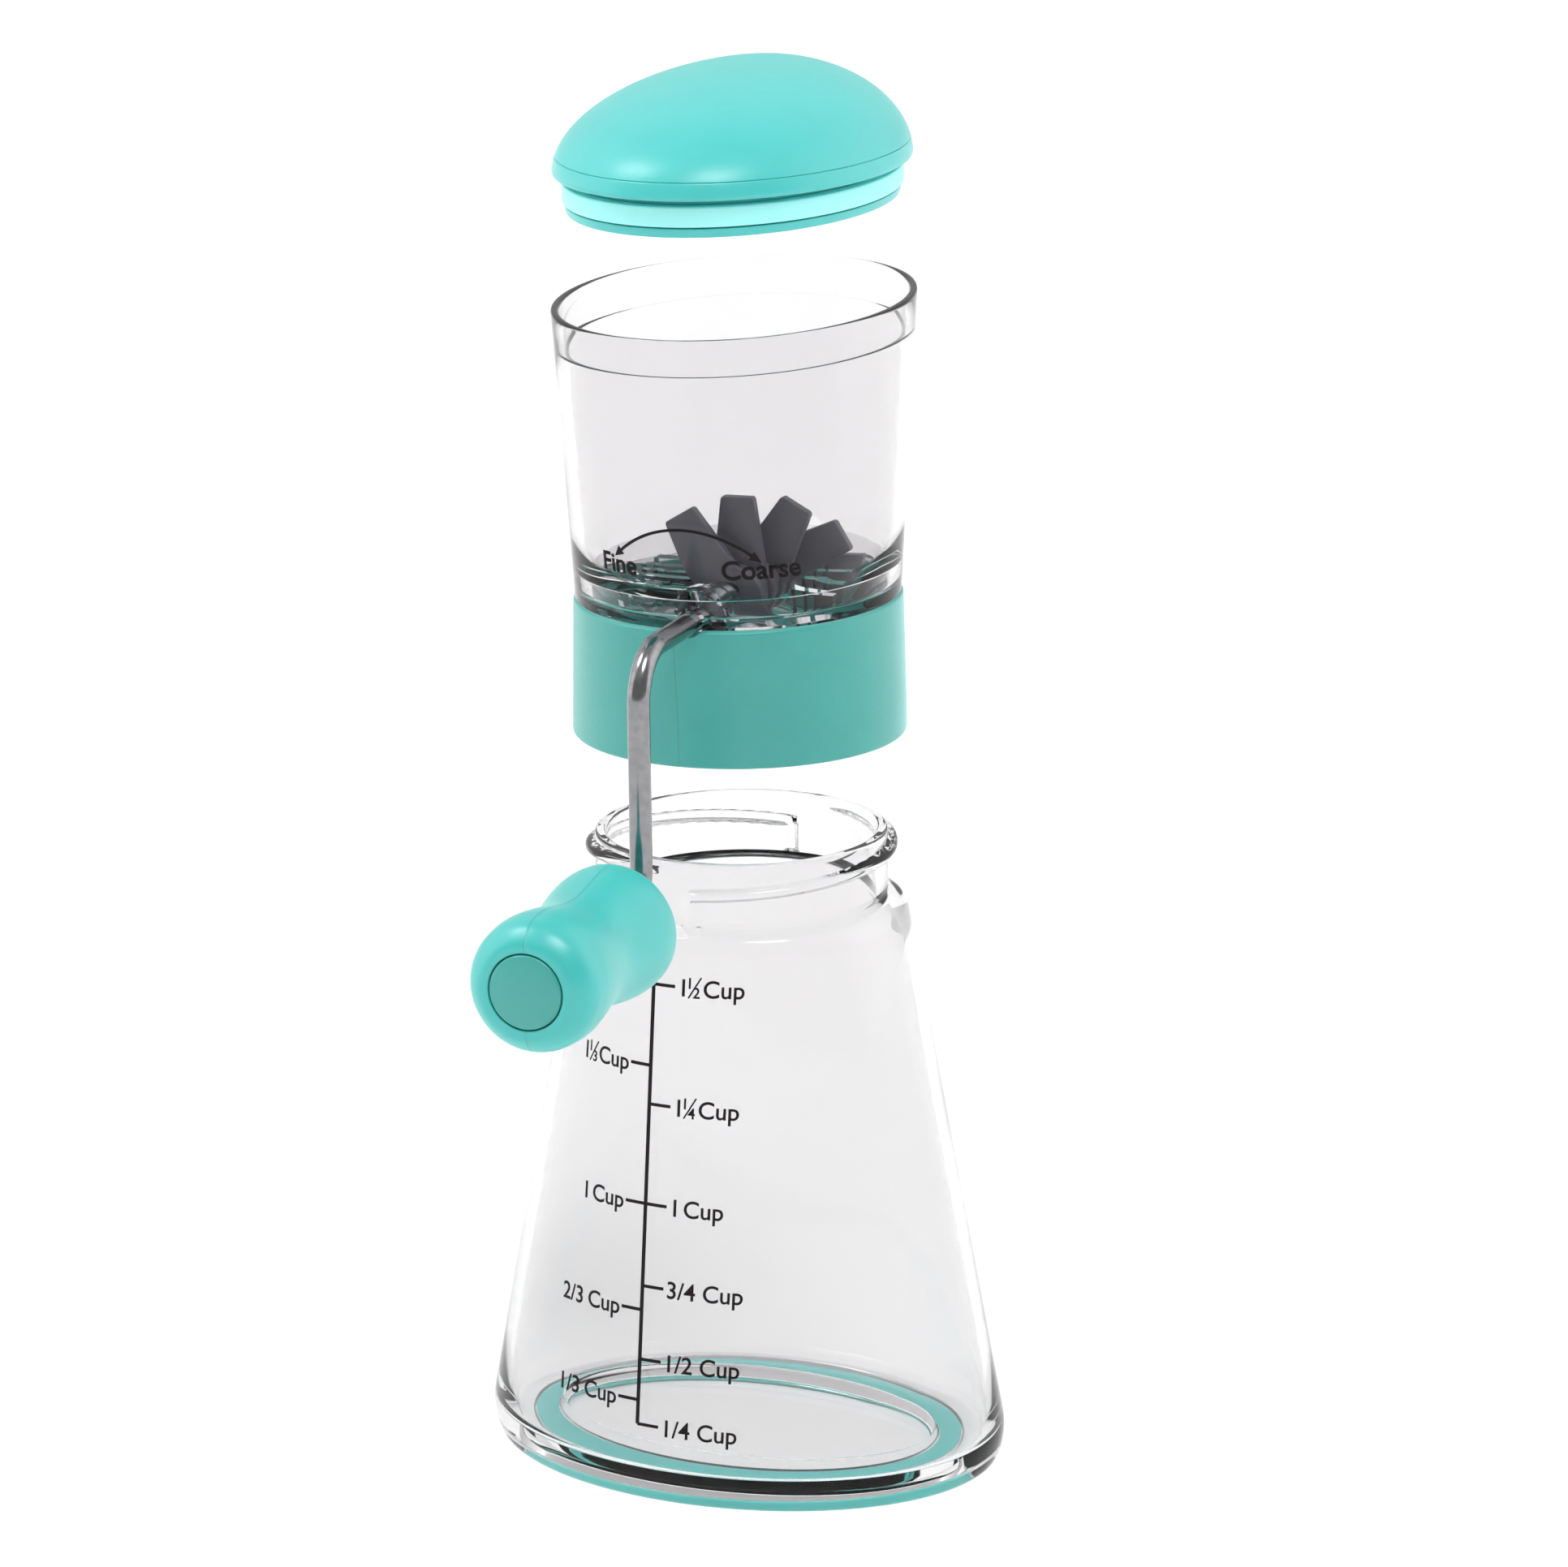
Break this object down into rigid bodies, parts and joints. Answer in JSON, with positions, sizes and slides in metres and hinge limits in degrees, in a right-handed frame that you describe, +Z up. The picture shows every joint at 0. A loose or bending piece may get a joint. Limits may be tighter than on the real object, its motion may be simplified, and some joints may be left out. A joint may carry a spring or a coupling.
{
  "type": "hand-crank nut chopper",
  "caption": "Hand-crank nut chopper laid out apart: domed lid over clear oval hopper with crank and stepped paddles, over a clear measuring jar.",
  "frame": {"origin": "middle of the whole layout's box on the surface that the jar stands on; the jar's axis is 33 mm towards +Y", "axes": "+Z up along the jar's axis, X along the jar's long axis, -Y towards the jar's printed front and the crank"},
  "size_m": [0.0992, 0.1521, 0.2577],
  "materials": {
    "clear_plastic": "polished clear, faint violet-grey edges",
    "teal_soft": "soft satin",
    "seal_rubber": "soft matte",
    "teal_textured": "fine spark texture",
    "comb_plastic": "translucent",
    "bush_plastic": "translucent",
    "steel": "polished",
    "teal_satin": "satin",
    "teal_matte": "matte pebble texture",
    "aqua_soft": "soft matte",
    "paddle_plastic": "satin slate grey"
  },
  "bodies": {
    "jar": {"jar_body": "clear_plastic", "non_slip_ring": "teal_soft"},
    "seal": {"collar_seal": "seal_rubber"},
    "hopper": {"hopper_cup": "clear_plastic", "screw_collar": "teal_textured", "fine_comb": "comb_plastic", "coarse_comb": "comb_plastic", "front_bush": "bush_plastic", "rear_bush": "bush_plastic"},
    "crank": {"crank_rod": "steel", "paddle_1": "paddle_plastic", "paddle_2": "paddle_plastic", "paddle_3": "paddle_plastic", "paddle_4": "paddle_plastic", "paddle_5": "paddle_plastic", "paddle_spacer_1": "paddle_plastic", "paddle_spacer_2": "paddle_plastic", "paddle_spacer_3": "paddle_plastic", "paddle_spacer_4": "paddle_plastic", "shaft_clip": "steel", "handle_retainer": "steel"},
    "handle": {"handle_grip": "teal_satin", "handle_cap": "teal_satin"},
    "lid": {"lid_dome": "teal_matte", "lid_plug": "teal_matte", "lid_seal": "aqua_soft"}
  },
  "joints": [
    {"name": "hopper_lift", "type": "slide", "parent": "jar", "child": "seal", "axis": [0, 0, 1], "range_m": [-0.0304, 0]},
    {"name": "hopper_twist", "type": "hinge", "parent": "seal", "child": "hopper", "pos_m": [0, 0.0334, 0.15], "axis": [0, 0, 1], "range_deg": [-1086, 0]},
    {"name": "crank_spin", "type": "hinge", "parent": "hopper", "child": "crank", "pos_m": [0.00279, 0.03365, 0.1643], "axis": [0.0906, -0.9959, 0], "continuous": true},
    {"name": "handle_spin", "type": "hinge", "parent": "crank", "child": "handle", "pos_m": [0.00899, -0.03447, 0.1189], "axis": [0.0906, -0.9959, 0], "continuous": true},
    {"name": "lid_lift", "type": "slide", "parent": "hopper", "child": "lid", "axis": [0, 0, 1], "range_m": [-0.0238, 0]}
  ],
  "couplings": [
    {"joint": "hopper_twist", "follows": "hopper_lift", "rad_per_m": 623.02}
  ]
}
